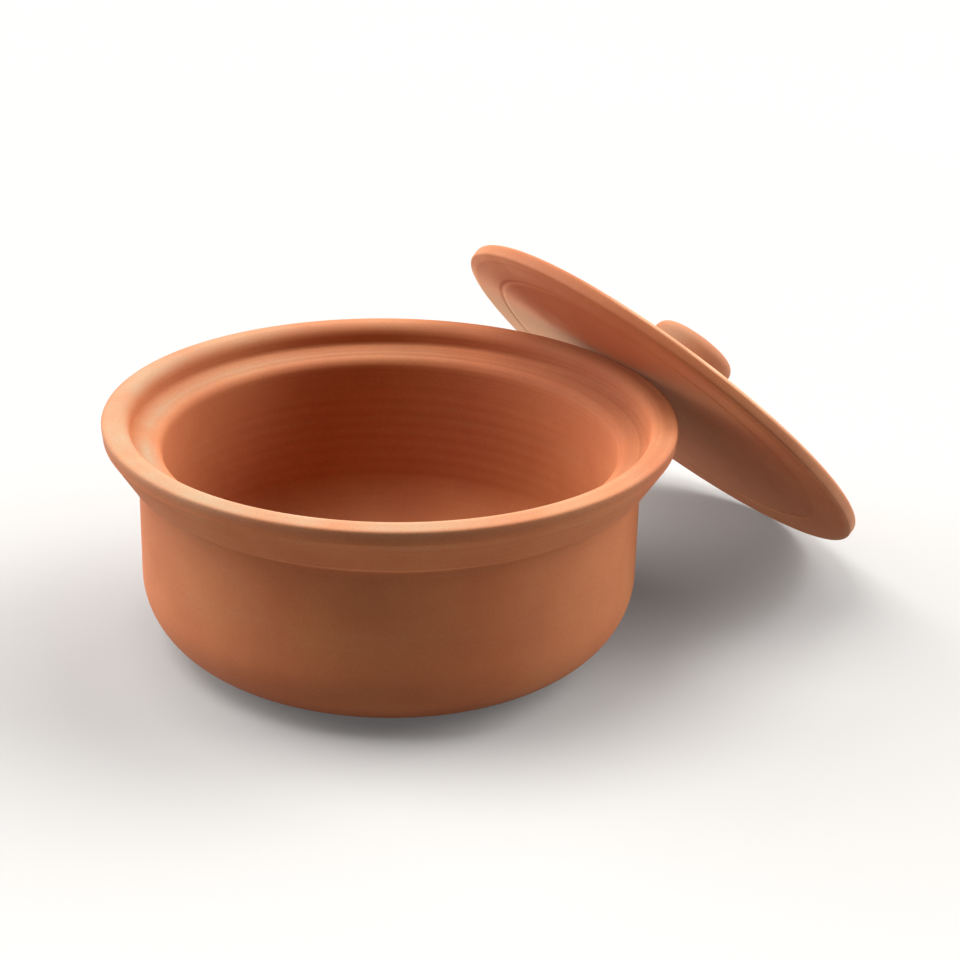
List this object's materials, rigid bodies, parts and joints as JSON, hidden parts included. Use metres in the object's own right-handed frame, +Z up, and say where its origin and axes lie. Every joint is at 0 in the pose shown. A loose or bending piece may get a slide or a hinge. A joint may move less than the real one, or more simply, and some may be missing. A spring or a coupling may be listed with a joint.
{
  "type": "clay casserole pot",
  "caption": "Round unglazed clay casserole with a galleried rim, and a knobbed lid that leans on the rim and lifts off.",
  "frame": {"origin": "centre of the pot's base, on the surface it stands on", "axes": "+Z up along the pot's axis, +X from the pot towards the foot of the leaning lid"},
  "size_m": [0.3724, 0.2598, 0.1678],
  "materials": {
    "pot_clay": "matte unglazed",
    "lid_clay": "matte unglazed"
  },
  "bodies": {
    "pot": {"pot": "pot_clay"},
    "lid": {"lid": "lid_clay", "lid_knob": "lid_clay"}
  },
  "joints": [
    {"name": "lid_lift", "type": "slide", "parent": "pot", "child": "lid", "axis": [0, 0, 1], "range_m": [0, 0.18]}
  ]
}
